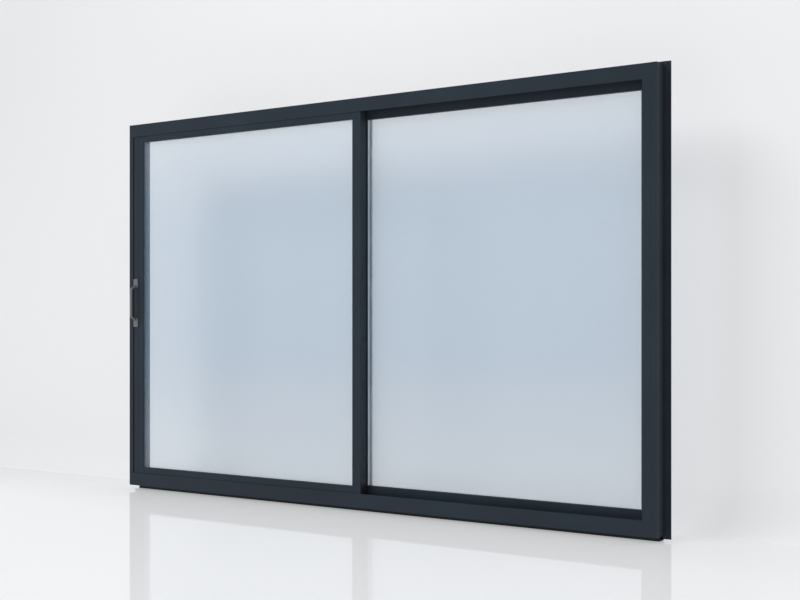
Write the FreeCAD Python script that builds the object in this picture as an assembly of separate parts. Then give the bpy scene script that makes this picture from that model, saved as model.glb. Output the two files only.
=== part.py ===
import FreeCAD, Part
import math
import os

# Horizontal sliding window with two glazed sashes, in millimetres.
# X runs along the window, Y from its front to its back, Z up from the underside of the base.
# Places are worked out from the frame's front face, and the finished pieces are then shifted
# so that the origin lies in the middle of the base's underside.
# The front sash is at the left and carries the pull handle; the rear sash is at the right.

# Outer frame
body_width = 2332.0
body_height = 1500.0
jamb_face = 21.0
head_face = 50.0
sill_face = 52.0
frame_wall = 2.0
head_chamber = 22.0
sill_chamber = 24.0
divider_drop = 6.0
face_radius = 1.0

# Lanes that the sashes slide in
lip_gap = 1.0
divider_gap = 2.0
sash_depth = 35.0

# Fixing fins around the frame
fin_reach = 24.0
fin_setback = 56.0
fin_thickness = 5.0
fin_step = 12.0
fin_step_drop = 2.4
fin_bead = 3.0
fin_bead_rise = 1.2
fin_root = 4.7
fin_root_thickness = 2.8
fin_overrun = 10.0
fin_fit = 0.1

# Base strip under the sill
base_height = 17.5
base_setback = 46.0
base_end_inset = 10.0
base_wall = 2.5

# Tracks that the rollers run on
rib_width = 2.0
rib_height = 6.0
track_width = 4.0
track_height = 8.0
track_fit = 0.1

# Covers that close the empty lane beside each jamb
front_cover_width = 29.0
rear_cover_width = 16.0
cover_wall = 2.0

# Sash profiles
sash_wall = 2.0
rail_show = 25.0
rail_engage = 15.0
lock_stile_width = 55.0
lock_strip_width = 27.0
strip_groove = 1.6
closing_stile_width = 46.0
meeting_stile_width = 36.0
closing_gap = 2.0
sash_radius = 0.8
glazing_lip = 2.5
pocket_depth = 14.0
back_lip_short = 6.0

# Interlock between the meeting stiles
hook_wall = 1.4
hook_offset = 8.0
hook_reach = 4.6
hook_length = 9.0
hook_end_gap = 1.0

# Insulated glazing
pane_thickness = 6.0
cavity = 12.0
glass_bite = 10.0
gasket_front = 3.5
gasket_show = 1.5
spacer_inset = 1.0
spacer_width = 5.0

# Rollers under each sash
wheel_radius = 10.0
wheel_width = 8.0
wheel_groove = 2.2
wheel_fit = 0.1
axle_radius = 2.5
carriage_length = 44.0
carriage_fit = 0.3
carriage_slot = 9.0
carriage_slot_length = 24.0
carriage_top = 3.0
carriage_lift = 1.0
axle_fit = 0.1
roller_channel = 17.0
roller_channel_height = 20.0
roller_from_end = 150.0

# Pull handle on the lock stile
handle_height = 759.0
handle_length = 200.0
handle_foot_width = 24.0
handle_foot_height = 36.0
handle_foot_thickness = 5.0
handle_foot_radius = 3.0
handle_foot_edge = 1.0
grip_width = 11.0
grip_thickness = 9.0
grip_corner = 3.0
grip_standoff = 30.0
grip_slant = 20.0
grip_bend = 12.0

# Places worked out from the sizes above
lane = lip_gap + sash_depth + divider_gap
frame_depth = 2.0 * (frame_wall + lane) + frame_wall
divider_front = frame_wall + lane
divider_back = divider_front + frame_wall
front_sash_y = frame_wall + lip_gap
rear_sash_y = divider_back + divider_gap
body_half = body_width / 2.0
clear_half = body_half - jamb_face
frame_bottom = base_height
frame_top = base_height + body_height
sash_bottom = frame_bottom + sill_face - rail_engage
sash_top = frame_top - head_face + rail_engage
rail_height = rail_show + rail_engage
glass_front = glazing_lip + gasket_front
glass_back = glass_front + 2.0 * pane_thickness + cavity
gasket_back = sash_depth - glazing_lip - glass_back


def corner_points(before, corner, after, radius):
    """Start, middle and end of the arc that rounds one corner of an outline."""
    to_before = (before - corner).normalize()
    to_after = (after - corner).normalize()
    half_angle = to_before.getAngle(to_after) / 2.0
    reach = radius / math.tan(half_angle)
    bisector = (to_before + to_after).normalize()
    centre = corner + bisector * (radius / math.sin(half_angle))
    start = corner + to_before * reach
    end = corner + to_after * reach
    middle = centre - bisector * radius
    return start, middle, end


def outline(points, plane):
    """Closed wire through (a, b) or (a, b, radius) points, laid in the plane by name."""
    places = []
    radii = []
    for point in points:
        a, b = point[0], point[1]
        if plane == "yz":
            places.append(FreeCAD.Vector(0, a, b))
        elif plane == "xz":
            places.append(FreeCAD.Vector(a, 0, b))
        else:
            places.append(FreeCAD.Vector(a, b, 0))
        radii.append(point[2] if len(point) > 2 else 0.0)
    edges = []
    starts = []
    ends = []
    for index, place in enumerate(places):
        if radii[index] > 0:
            after = places[(index + 1) % len(places)]
            start, middle, end = corner_points(places[index - 1], place, after, radii[index])
            edges.append(Part.Arc(start, middle, end).toShape())
            starts.append(start)
            ends.append(end)
        else:
            starts.append(place)
            ends.append(place)
    for index, end in enumerate(ends):
        start = starts[(index + 1) % len(starts)]
        edges.append(Part.makeLine(end, start))
    return Part.Wire(Part.__sortEdges__(edges))


def section(outer, holes, plane):
    """Face of a hollow profile."""
    wires = [outline(outer, plane)]
    for hole in holes:
        wires.append(outline(hole, plane))
    return Part.makeFace(wires, "Part::FaceMakerBullseye")


def along_x(outer, holes, x_start, x_end):
    """Profile drawn in (y, z), extruded from x_start to x_end."""
    face = section(outer, holes, "yz")
    face.translate(FreeCAD.Vector(x_start, 0, 0))
    return face.extrude(FreeCAD.Vector(x_end - x_start, 0, 0))


def along_y(outer, holes, y_start, y_end):
    """Profile drawn in (x, z), extruded from y_start to y_end."""
    face = section(outer, holes, "xz")
    face.translate(FreeCAD.Vector(0, y_start, 0))
    return face.extrude(FreeCAD.Vector(0, y_end - y_start, 0))


def along_z(outer, holes, z_start, z_end):
    """Profile drawn in (x, y), extruded from z_start to z_end."""
    face = section(outer, holes, "xy")
    face.translate(FreeCAD.Vector(0, 0, z_start))
    return face.extrude(FreeCAD.Vector(0, 0, z_end - z_start))


def rectangle(a_low, b_low, a_high, b_high, radius=0.0):
    """Corners of an upright rectangle, all with the same radius."""
    return [
        (a_low, b_low, radius),
        (a_high, b_low, radius),
        (a_high, b_high, radius),
        (a_low, b_high, radius),
    ]


def bevelled_rectangle(half_a, half_b, bevel):
    """Corners of a rectangle about the origin with its four corners cut off."""
    return [
        (-half_a + bevel, -half_b),
        (half_a - bevel, -half_b),
        (half_a, -half_b + bevel),
        (half_a, half_b - bevel),
        (half_a - bevel, half_b),
        (-half_a + bevel, half_b),
        (-half_a, half_b - bevel),
        (-half_a, -half_b + bevel),
    ]


def mirrored(shape):
    """The same shape on the other side of the window's centre."""
    return shape.mirror(FreeCAD.Vector(0, 0, 0), FreeCAD.Vector(1, 0, 0))


def fin_slot_low():
    """Front wall of the slot that holds a fin's root."""
    middle = fin_setback + fin_thickness / 2.0
    return middle - fin_root_thickness / 2.0 - fin_fit


def fin_slot_high():
    """Back wall of the slot that holds a fin's root."""
    return fin_slot_low() + fin_root_thickness + 2.0 * fin_fit


def right_jamb():
    """Hollow jamb with two chambers and the slot for its fin."""
    inner = clear_half
    outer = body_half
    slot_floor = outer - fin_root - fin_fit
    low = fin_slot_low()
    high = fin_slot_high()
    profile = [
        (inner, 0, face_radius / 2.0),
        (outer, 0, face_radius),
        (outer, low),
        (slot_floor, low),
        (slot_floor, high),
        (outer, high),
        (outer, frame_depth, face_radius),
        (inner, frame_depth, face_radius / 2.0),
    ]
    chamber_in = inner + frame_wall
    chamber_out = outer - frame_wall
    front = rectangle(chamber_in, frame_wall, chamber_out, low - frame_wall)
    back = rectangle(chamber_in, high + frame_wall, chamber_out, frame_depth - frame_wall)
    return along_z(profile, [front, back], frame_bottom, frame_top)


def head():
    """Head with a closed chamber above two open lanes."""
    bottom = frame_top - head_face
    lane_top = frame_top - head_chamber
    slot_floor = frame_top - fin_root - fin_fit
    low = fin_slot_low()
    high = fin_slot_high()
    back_lip = frame_depth - frame_wall
    profile = [
        (0, bottom, face_radius / 2.0),
        (frame_wall, bottom),
        (frame_wall, lane_top),
        (divider_front, lane_top),
        (divider_front, bottom),
        (divider_back, bottom),
        (divider_back, lane_top),
        (back_lip, lane_top),
        (back_lip, bottom),
        (frame_depth, bottom, face_radius / 2.0),
        (frame_depth, frame_top, face_radius),
        (high, frame_top),
        (high, slot_floor),
        (low, slot_floor),
        (low, frame_top),
        (0, frame_top, face_radius),
    ]
    chamber_low = lane_top + frame_wall
    chamber_high = frame_top - frame_wall
    front = rectangle(frame_wall, chamber_low, low - frame_wall, chamber_high)
    back = rectangle(high + frame_wall, chamber_low, back_lip, chamber_high)
    return along_x(profile, [front, back], -clear_half, clear_half)


def sill():
    """Sill with a closed chamber under two open lanes, each with a rib for its track."""
    lane_floor = frame_bottom + sill_chamber
    top = frame_bottom + sill_face
    divider_top = top - divider_drop
    rib_top = lane_floor + rib_height
    back_lip = frame_depth - frame_wall
    profile = [
        (0, frame_bottom, face_radius),
        (frame_depth, frame_bottom, face_radius),
        (frame_depth, top, face_radius / 2.0),
        (back_lip, top),
        (back_lip, lane_floor),
    ]
    profile += rib_points(rear_track_y(), lane_floor, rib_top)
    profile += [
        (divider_back, lane_floor),
        (divider_back, divider_top),
        (divider_front, divider_top),
        (divider_front, lane_floor),
    ]
    profile += rib_points(front_track_y(), lane_floor, rib_top)
    profile += [
        (frame_wall, lane_floor),
        (frame_wall, top),
        (0, top, face_radius / 2.0),
    ]
    low = frame_bottom + frame_wall
    high = lane_floor - frame_wall
    front = rectangle(frame_wall, low, divider_front, high)
    back = rectangle(divider_back, low, back_lip, high)
    return along_x(profile, [front, back], -clear_half, clear_half)


def rib_points(middle, floor, top):
    """Corners of one track rib, from its back to its front."""
    half = rib_width / 2.0
    return [(middle + half, floor), (middle + half, top), (middle - half, top), (middle - half, floor)]


def front_track_y():
    """Middle of the front sash, where its track lies."""
    return front_sash_y + sash_depth / 2.0


def rear_track_y():
    """Middle of the rear sash, where its track lies."""
    return rear_sash_y + sash_depth / 2.0


def track_top():
    """Height of the round top that the wheels run on."""
    return frame_bottom + sill_chamber + track_height


def track(middle):
    """Round-topped cap that clips over a rib of the sill."""
    floor = frame_bottom + sill_chamber
    half = track_width / 2.0
    slot = rib_width / 2.0 + track_fit
    slot_top = floor + rib_height + track_fit
    rounding = half - track_fit
    profile = [
        (middle - half, floor),
        (middle - slot, floor),
        (middle - slot, slot_top),
        (middle + slot, slot_top),
        (middle + slot, floor),
        (middle + half, floor),
        (middle + half, track_top(), rounding),
        (middle - half, track_top(), rounding),
    ]
    return along_x(profile, [], -clear_half, clear_half)


def right_fin():
    """Stepped fixing fin, with its root in the jamb's slot and a bead on its outer edge."""
    back = fin_setback + fin_thickness
    low = fin_slot_low() + fin_fit
    high = low + fin_root_thickness
    edge = body_half + fin_reach
    thin = fin_setback + fin_step_drop
    bead_front = thin - fin_bead_rise
    profile = [
        (body_half - fin_root, low),
        (body_half, low),
        (body_half, fin_setback),
        (body_half + fin_step, fin_setback, face_radius),
        (body_half + fin_step, thin),
        (edge - fin_bead, thin),
        (edge - fin_bead, bead_front),
        (edge, bead_front, face_radius / 2.0),
        (edge, back, face_radius / 2.0),
        (body_half, back),
        (body_half, high),
        (body_half - fin_root, high),
    ]
    fin = along_z(profile, [], frame_bottom - fin_overrun, frame_top + fin_overrun)
    low_end = frame_bottom - fin_overrun
    tab_low = Part.makeBox(fin_root, fin_thickness, fin_overrun)
    tab_low.translate(FreeCAD.Vector(body_half - fin_root, fin_setback, low_end))
    tab_high = tab_low.copy()
    tab_high.translate(FreeCAD.Vector(0, 0, body_height + fin_overrun))
    return fin.cut(tab_low).cut(tab_high)


def head_fin():
    """Low fin along the head, ending against the side fins."""
    low = fin_slot_low() + fin_fit
    high = low + fin_root_thickness
    back = fin_setback + fin_thickness
    top = frame_top + fin_overrun
    cap = [
        (fin_setback, frame_top),
        (back, frame_top),
        (back, top),
        (fin_setback, top, face_radius),
    ]
    root = rectangle(low, frame_top - fin_root, high, frame_top)
    fin = along_x(cap, [], -body_half, body_half)
    return fin.fuse(along_x(root, [], -clear_half, clear_half)).removeSplitter()


def base_strip():
    """Hollow strip under the sill, set back from the front."""
    half = body_half - base_end_inset
    profile = rectangle(base_setback, 0, frame_depth, base_height)
    low = base_wall
    hollow = rectangle(base_setback + low, low, frame_depth - low, base_height - low)
    return along_x(profile, [hollow], -half, half)


def lane_cover(width, y_face, y_inner):
    """Hollow cover beside the right jamb, between the sill and the head."""
    inner = clear_half - width
    outer = clear_half
    low = min(y_face, y_inner)
    high = max(y_face, y_inner)
    front_radius = face_radius if y_face < y_inner else 0.0
    back_radius = face_radius - front_radius
    profile = [
        (inner, low, front_radius),
        (outer, low, front_radius / 2.0),
        (outer, high, back_radius / 2.0),
        (inner, high, back_radius),
    ]
    hollow = rectangle(inner + cover_wall, low + cover_wall, outer - cover_wall, high - cover_wall)
    return along_z(profile, [hollow], frame_bottom + sill_face, frame_top - head_face)


def closing_stile(width, y_front, groove_at):
    """Stile that closes against the right jamb, with its glazing pocket facing the centre."""
    outer = clear_half - closing_gap
    inner = outer - width
    back = y_front + sash_depth
    floor = inner + pocket_depth
    profile = [(outer, y_front, sash_radius)]
    if groove_at > 0:
        middle = outer - groove_at
        half = strip_groove / 2.0
        profile += [(middle + half, y_front), (middle, y_front + half), (middle - half, y_front)]
    profile += [
        (inner, y_front, sash_radius),
        (inner, y_front + glazing_lip),
        (floor, y_front + glazing_lip),
        (floor, back - glazing_lip),
        (inner, back - glazing_lip),
        (inner, back, sash_radius),
        (outer, back, sash_radius),
    ]
    chamber = rectangle(
        floor + sash_wall, y_front + sash_wall, outer - sash_wall, back - sash_wall
    )
    return along_z(profile, [chamber], sash_bottom, sash_top)


def front_meeting_stile():
    """Meeting stile of the left sash: glazing pocket to the left, interlock hook at its back."""
    half = meeting_stile_width / 2.0
    front = front_sash_y
    back = front + sash_depth
    floor = -half + pocket_depth
    profile = [
        (-half, front, sash_radius),
        (half, front, sash_radius),
        (half, back, sash_radius),
        (-half, back, sash_radius),
        (-half, back - glazing_lip),
        (floor, back - glazing_lip),
        (floor, front + glazing_lip),
        (-half, front + glazing_lip),
    ]
    chamber = rectangle(
        floor + sash_wall, front + sash_wall, half - sash_wall, back - sash_wall
    )
    stile = along_z(profile, [chamber], sash_bottom, sash_top)
    return stile.fuse(interlock_hook(back)).removeSplitter()


def interlock_hook(back):
    """Hook on a meeting stile's back, from just above the sill to just below the head."""
    hook_out = hook_offset + hook_wall
    hook_tip = hook_out - hook_length
    hook_back = back + hook_reach
    profile = [
        (hook_offset, back),
        (hook_out, back),
        (hook_out, hook_back),
        (hook_tip, hook_back),
        (hook_tip, hook_back - hook_wall),
        (hook_offset, hook_back - hook_wall),
    ]
    low = frame_bottom + sill_face + hook_end_gap
    return along_z(profile, [], low, frame_top - head_face - hook_end_gap)


def rear_meeting_stile():
    """The front meeting stile turned half round about the middle of the window."""
    stile = front_meeting_stile()
    stile.rotate(FreeCAD.Vector(0, frame_depth / 2.0, 0), FreeCAD.Vector(0, 0, 1), 180)
    return stile


def top_rail(x_start, x_end, y_front):
    """Hollow top rail with its glazing pocket below, whose back lip is the shorter one."""
    back = y_front + sash_depth
    low = sash_top - rail_height
    floor = low + pocket_depth
    back_low = low + back_lip_short
    profile = [
        (y_front, low, sash_radius),
        (y_front + glazing_lip, low),
        (y_front + glazing_lip, floor),
        (back - glazing_lip, floor),
        (back - glazing_lip, back_low),
        (back, back_low, sash_radius),
        (back, sash_top, sash_radius),
        (y_front, sash_top, sash_radius),
    ]
    chamber = rectangle(
        y_front + sash_wall, floor + sash_wall, back - sash_wall, sash_top - sash_wall
    )
    return along_x(profile, [chamber], x_start, x_end)


def bottom_rail(x_start, x_end, y_front):
    """Bottom rail with its glazing pocket above and the roller channel below."""
    back = y_front + sash_depth
    high = sash_bottom + rail_height
    floor = high - pocket_depth
    back_high = high - back_lip_short
    middle = y_front + sash_depth / 2.0
    channel_front = middle - roller_channel / 2.0
    channel_back = middle + roller_channel / 2.0
    channel_top = sash_bottom + roller_channel_height
    profile = [
        (y_front, sash_bottom, sash_radius),
        (channel_front, sash_bottom),
        (channel_front, channel_top),
        (channel_back, channel_top),
        (channel_back, sash_bottom),
        (back, sash_bottom, sash_radius),
        (back, back_high, sash_radius),
        (back - glazing_lip, back_high),
        (back - glazing_lip, floor),
        (y_front + glazing_lip, floor),
        (y_front + glazing_lip, high),
        (y_front, high, sash_radius),
    ]
    low = sash_bottom + sash_wall
    front = rectangle(
        y_front + sash_wall, low, channel_front - sash_wall, channel_top
    )
    rear = rectangle(
        channel_back + sash_wall, low, back - sash_wall, channel_top
    )
    return along_x(profile, [front, rear], x_start, x_end)


def ring(x_start, x_end, z_start, z_end, side_width, end_width, y_start, y_end):
    """Flat rectangular ring, with its outer edge given and its sides and ends of their own width."""
    outer = rectangle(x_start, z_start, x_end, z_end)
    inner = rectangle(
        x_start + side_width, z_start + end_width, x_end - side_width, z_end - end_width
    )
    return along_y(outer, [inner], y_start, y_end)


def glazing(x_start, x_end, y_front):
    """Panes, gaskets and spacer between two stiles, by name."""
    low_sight = sash_bottom + rail_height
    high_sight = sash_top - rail_height
    x_low = x_start - glass_bite
    x_high = x_end + glass_bite
    z_low = low_sight - glass_bite
    z_high = high_sight + glass_bite
    outer_pane_y = y_front + glass_front
    cavity_y = outer_pane_y + pane_thickness
    inner_pane_y = cavity_y + cavity
    back_y = y_front + glass_back
    gasket_width = glass_bite + gasket_show
    back_gasket_width = gasket_width - back_lip_short
    inset = spacer_inset
    pane = rectangle(x_low, z_low, x_high, z_high)
    return {
        "outer_pane": along_y(pane, [], outer_pane_y, cavity_y),
        "inner_pane": along_y(pane, [], inner_pane_y, back_y),
        "outer_gasket": ring(
            x_low, x_high, z_low, z_high, gasket_width, gasket_width,
            y_front + glazing_lip, outer_pane_y
        ),
        "inner_gasket": ring(
            x_low, x_high, z_low, z_high, gasket_width, back_gasket_width,
            back_y, back_y + gasket_back
        ),
        "glass_spacer": ring(
            x_low + inset, x_high - inset, z_low + inset, z_high - inset,
            spacer_width, spacer_width, cavity_y, inner_pane_y
        ),
    }


def axle_height():
    """Height of a wheel's axle, with its right-angled groove resting on the round track."""
    rounding = track_width / 2.0 - track_fit
    seat = rounding * (math.sqrt(2.0) - 1.0) + wheel_fit
    return track_top() + seat + wheel_radius - wheel_groove


def wheel(x_middle, y_middle):
    """Grooved wheel with its axle, standing on the track."""
    half = wheel_width / 2.0
    root = wheel_radius - wheel_groove
    z_middle = axle_height()
    corners = [
        FreeCAD.Vector(0, -half, 0),
        FreeCAD.Vector(wheel_radius, -half, 0),
        FreeCAD.Vector(wheel_radius, -wheel_groove, 0),
        FreeCAD.Vector(root, 0, 0),
        FreeCAD.Vector(wheel_radius, wheel_groove, 0),
        FreeCAD.Vector(wheel_radius, half, 0),
        FreeCAD.Vector(0, half, 0),
    ]
    face = Part.Face(Part.makePolygon(corners + [corners[0]]))
    turned = face.revolve(FreeCAD.Vector(0, 0, 0), FreeCAD.Vector(0, 1, 0), 360)
    axle_length = roller_channel - 2.0 * carriage_fit
    axle = Part.makeCylinder(
        axle_radius,
        axle_length,
        FreeCAD.Vector(0, -axle_length / 2.0, 0),
        FreeCAD.Vector(0, 1, 0),
    )
    whole = turned.fuse(axle).removeSplitter()
    whole.translate(FreeCAD.Vector(x_middle, y_middle, z_middle))
    return whole


def carriage(x_middle, y_middle):
    """Block that holds one wheel in the roller channel."""
    low = sash_bottom + carriage_lift
    high = sash_bottom + roller_channel_height
    half = carriage_length / 2.0
    width = roller_channel - 2.0 * carriage_fit
    slot_half = carriage_slot_length / 2.0
    block = along_y(
        rectangle(-half, low, half, high, sash_radius), [], -width / 2.0, width / 2.0
    )
    slot = Part.makeBox(carriage_slot_length, carriage_slot, high - low - carriage_top)
    slot.translate(FreeCAD.Vector(-slot_half, -carriage_slot / 2.0, low))
    z_axle = axle_height()
    bore = Part.makeCylinder(
        axle_radius + axle_fit,
        width,
        FreeCAD.Vector(0, -width / 2.0, z_axle),
        FreeCAD.Vector(0, 1, 0),
    )
    whole = block.cut(slot).cut(bore)
    whole.translate(FreeCAD.Vector(x_middle, y_middle, 0))
    return whole


def roller_places(x_start, x_end):
    """Middles of a sash's two rollers."""
    return [x_start + roller_from_end, x_end - roller_from_end]


def sash_filling(name, x_start, x_end, y_front):
    """Rails, glazing and rollers of one sash, between its stiles' glass edges."""
    middle = y_front + sash_depth / 2.0
    places = roller_places(x_start, x_end)
    pieces = {
        name + "_top_rail": top_rail(x_start, x_end, y_front),
        name + "_bottom_rail": bottom_rail(x_start, x_end, y_front),
        name + "_roller_wheels": Part.makeCompound([wheel(x, middle) for x in places]),
        name + "_roller_carriages": Part.makeCompound([carriage(x, middle) for x in places]),
    }
    for piece, shape in glazing(x_start, x_end, y_front).items():
        pieces[name + "_" + piece] = shape
    return pieces


def handle_middle():
    """Middle of the handle on the lock stile's face."""
    outer = clear_half - closing_gap
    x = -(outer - lock_strip_width / 2.0)
    return FreeCAD.Vector(x, front_sash_y, frame_bottom + handle_height)


def handle_foot(side):
    """Rounded foot plate; side is 1 for the upper one and -1 for the lower one."""
    place = handle_middle()
    half_width = handle_foot_width / 2.0
    half_height = handle_foot_height / 2.0
    z_middle = side * (handle_length / 2.0 - half_height)
    plate = along_y(
        rectangle(-half_width, z_middle - half_height, half_width, z_middle + half_height,
                  handle_foot_radius),
        [], -handle_foot_thickness, 0
    )
    front_edges = [
        edge for edge in plate.Edges
        if abs(edge.BoundBox.YMax + handle_foot_thickness) < 0.001
    ]
    plate = plate.makeChamfer(handle_foot_edge, front_edges)
    plate.translate(place)
    return plate


def handle_grip():
    """Bowed grip swept from the upper foot to the lower one."""
    place = handle_middle()
    foot_z = handle_length / 2.0 - handle_foot_height / 2.0
    bow_z = foot_z - grip_slant
    near = -handle_foot_thickness
    far = -grip_standoff
    route = [
        FreeCAD.Vector(0, near, foot_z),
        FreeCAD.Vector(0, far, bow_z),
        FreeCAD.Vector(0, far, -bow_z),
        FreeCAD.Vector(0, near, -foot_z),
    ]
    upper = corner_points(route[0], route[1], route[2], grip_bend)
    lower = corner_points(route[1], route[2], route[3], grip_bend)
    edges = [
        Part.makeLine(route[0], upper[0]),
        Part.Arc(*upper).toShape(),
        Part.makeLine(upper[2], lower[0]),
        Part.Arc(*lower).toShape(),
        Part.makeLine(lower[2], route[3]),
    ]
    path = Part.Wire(edges)
    half_width = grip_width / 2.0
    half_depth = grip_thickness / 2.0
    cross = outline(bevelled_rectangle(half_width, half_depth, grip_corner), "xy")
    lean = (route[1] - route[0]).normalize()
    cross.Placement = FreeCAD.Placement(
        route[0], FreeCAD.Rotation(FreeCAD.Vector(0, 0, -1), lean)
    )
    grip = path.makePipeShell([cross], True, True)
    trim = Part.makeBox(
        2.0 * grip_width, 2.0 * grip_standoff, 2.0 * handle_length,
        FreeCAD.Vector(-grip_width, near, -handle_length)
    )
    grip = grip.cut(trim)
    grip.translate(place)
    return grip


def pieces():
    """Every piece of the window by name."""
    meeting_half = meeting_stile_width / 2.0
    outer = clear_half - closing_gap
    lock_stile = mirrored(closing_stile(lock_stile_width, front_sash_y, lock_strip_width))
    cover_depth = front_sash_y + sash_depth
    front_cover = lane_cover(front_cover_width, 0, cover_depth)
    rear_cover = mirrored(lane_cover(rear_cover_width, frame_depth, frame_depth - cover_depth))
    parts = {
        "head": head(),
        "sill": sill(),
        "left_jamb": mirrored(right_jamb()),
        "right_jamb": right_jamb(),
        "left_fin": mirrored(right_fin()),
        "right_fin": right_fin(),
        "head_fin": head_fin(),
        "base_strip": base_strip(),
        "front_track": track(front_track_y()),
        "rear_track": track(rear_track_y()),
        "front_lane_cover": front_cover,
        "rear_lane_cover": rear_cover,
        "front_lock_stile": lock_stile,
        "front_meeting_stile": front_meeting_stile(),
        "rear_closing_stile": closing_stile(closing_stile_width, rear_sash_y, 0),
        "rear_meeting_stile": rear_meeting_stile(),
        "upper_handle_foot": handle_foot(1),
        "lower_handle_foot": handle_foot(-1),
        "handle_grip": handle_grip(),
    }
    parts.update(sash_filling("front", -outer + lock_stile_width, -meeting_half, front_sash_y))
    parts.update(sash_filling("rear", meeting_half, outer - closing_stile_width, rear_sash_y))
    return parts


os.makedirs("parts", exist_ok=True)
base_middle = (base_setback + frame_depth) / 2.0
for node, shape in pieces().items():
    shape.translate(FreeCAD.Vector(0, -base_middle, 0))
    shape.exportStep("parts/" + node + ".step")
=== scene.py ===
"""Finishes, small fittings and stage for a two-sash sliding window."""

import math

import bmesh
import bpy
from mathutils import Matrix, Vector


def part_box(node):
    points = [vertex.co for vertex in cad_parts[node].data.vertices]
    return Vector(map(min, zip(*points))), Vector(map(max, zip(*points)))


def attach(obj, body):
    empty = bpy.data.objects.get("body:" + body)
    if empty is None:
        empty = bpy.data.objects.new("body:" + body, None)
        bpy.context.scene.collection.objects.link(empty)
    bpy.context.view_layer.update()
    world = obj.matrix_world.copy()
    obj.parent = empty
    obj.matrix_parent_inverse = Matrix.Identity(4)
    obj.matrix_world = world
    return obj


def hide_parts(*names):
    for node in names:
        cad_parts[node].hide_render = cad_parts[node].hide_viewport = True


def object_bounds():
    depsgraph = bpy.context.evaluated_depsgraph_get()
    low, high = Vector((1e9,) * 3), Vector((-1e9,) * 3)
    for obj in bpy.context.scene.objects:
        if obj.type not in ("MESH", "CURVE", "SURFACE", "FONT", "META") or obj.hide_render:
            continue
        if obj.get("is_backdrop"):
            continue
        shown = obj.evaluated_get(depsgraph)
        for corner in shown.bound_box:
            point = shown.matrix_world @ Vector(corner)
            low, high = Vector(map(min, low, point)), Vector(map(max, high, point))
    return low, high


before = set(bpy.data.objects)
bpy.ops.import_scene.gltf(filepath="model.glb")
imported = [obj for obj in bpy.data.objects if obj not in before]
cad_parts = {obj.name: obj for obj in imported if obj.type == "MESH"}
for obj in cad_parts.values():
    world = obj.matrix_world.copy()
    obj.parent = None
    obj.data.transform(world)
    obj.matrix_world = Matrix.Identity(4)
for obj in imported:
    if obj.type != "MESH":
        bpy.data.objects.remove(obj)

bl_info = {
    "name": "Sliding Window Finish",
    "version": (1, 0, 0),
    "blender": (4, 5, 0),
    "location": "3D View > Sidebar > Window",
    "description": "Finishes, seals, screws and handle of a two-sash sliding window",
    "category": "Object",
}

MM = 0.001
BODY = "root"

FRAME_NODES = (
    "head", "sill", "left_jamb", "right_jamb", "left_fin", "right_fin", "head_fin",
    "front_lane_cover", "rear_lane_cover",
)
SASH_NODES = (
    "front_lock_stile", "front_meeting_stile", "front_top_rail", "front_bottom_rail",
    "rear_closing_stile", "rear_meeting_stile", "rear_top_rail", "rear_bottom_rail",
)
OUTER_STILES = {"front": "front_lock_stile", "rear": "rear_closing_stile"}
SASHES = ("front", "rear")

ACROSS = Vector((1.0, 0.0, 0.0))
FORWARD = Vector((0.0, -1.0, 0.0))
UP = Vector((0.0, 0.0, 1.0))
# Stretches of a noise: none, and one that draws it out into lines along X.
EVEN = (1.0, 1.0, 1.0)
ALONG_X = (0.02, 1.0, 1.0)

# Sockets of the Mix node that carry colours, by number, since their names repeat.
MIX_FACTOR, MIX_FIRST, MIX_SECOND, MIX_RESULT = 0, 6, 7, 2

WHITE = (1.0, 1.0, 1.0)
# How much lighter or darker a finish is at its other extreme.
COAT_CLOUD = 1.22
RUBBER_BLOOM = 1.4
METAL_WEAR = 0.8
LACQUER_GROUND = 0.86
NYLON_FLOW = 0.85
# Painted reflection on the glass: distances from the veil's deepest height at which the
# veil starts and ends being painted paler.
PAINTED_REFLECTION_FADE = (0.20, 0.70)

# Pile seals: wall of the lips they stand on, their edges from the frame's inner face,
# and the share of their thickness that is rounded off.
LIP_WALL = 2.0 * MM
SEAL_NEAR = 1.5 * MM
SEAL_FAR = 6.5 * MM
SEAL_ROUNDING = 0.4

# Edges that turn more than this many degrees stay sharp, on a piece and on the grip.
CREASE = 35.0
GRIP_CREASE = 50.0

# Grip: how deep its ends reach into the plates, and the steps of each bend.
GRIP_SUNK = 3.0 * MM
BEND_STEPS = 10

# Screws: height of the head and radius inside its rim.
HANDLE_SCREW = {"height": 1.6 * MM, "inner": 1.4 * MM}
FRAME_SCREW = {"height": 1.8 * MM, "inner": 1.6 * MM}
# A head's top radius against its foot's, then shares of its height.
SCREW_TAPER = 0.92
SCREW_ROUNDING = 0.35
RECESS_DEPTH = 0.6
# A plate's two screws from its outer end, in radii of a head.
PLATE_SCREW_STEPS = (2.0, 6.0)
# Frame screws: radius against the handle's, and places from jamb end and jamb front.
FRAME_SCREW_SCALE = 1.2
FRAME_SCREW_END = 11.0 * MM
FRAME_SCREW_DEPTHS = (14.0 * MM, 40.0 * MM)

# Stage: half width of floor and wall, height of the wall, and its lift off the floor.
STAGE_REACH = 30.0
WALL_HEIGHT = 12.0
WALL_LIFT = 0.0004
# The backdrop's glow fades to the left between two places along X. It fades by one
# share low down, and by another share more between two heights.
LEFT_FADE = (-3.2, 0.3)
LEFT_DIM = 0.6
UPPER_FADE = (0.2, 2.6)
UPPER_DIM = 0.65
# Places along Y between which the glow passes from the wall's to the open floor's.
FRONT_FADE = (0.16, -0.6)
# Height up the curved foot of the wall at which the floor's polish has faded out.
POLISH_TOP = 0.07
# Where the large soft light points, and the colour of the light all round.
KEY_AIM = Vector((0.0, 0.0, 0.8))
DAYLIGHT = (0.98, 0.99, 1.0)


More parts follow.
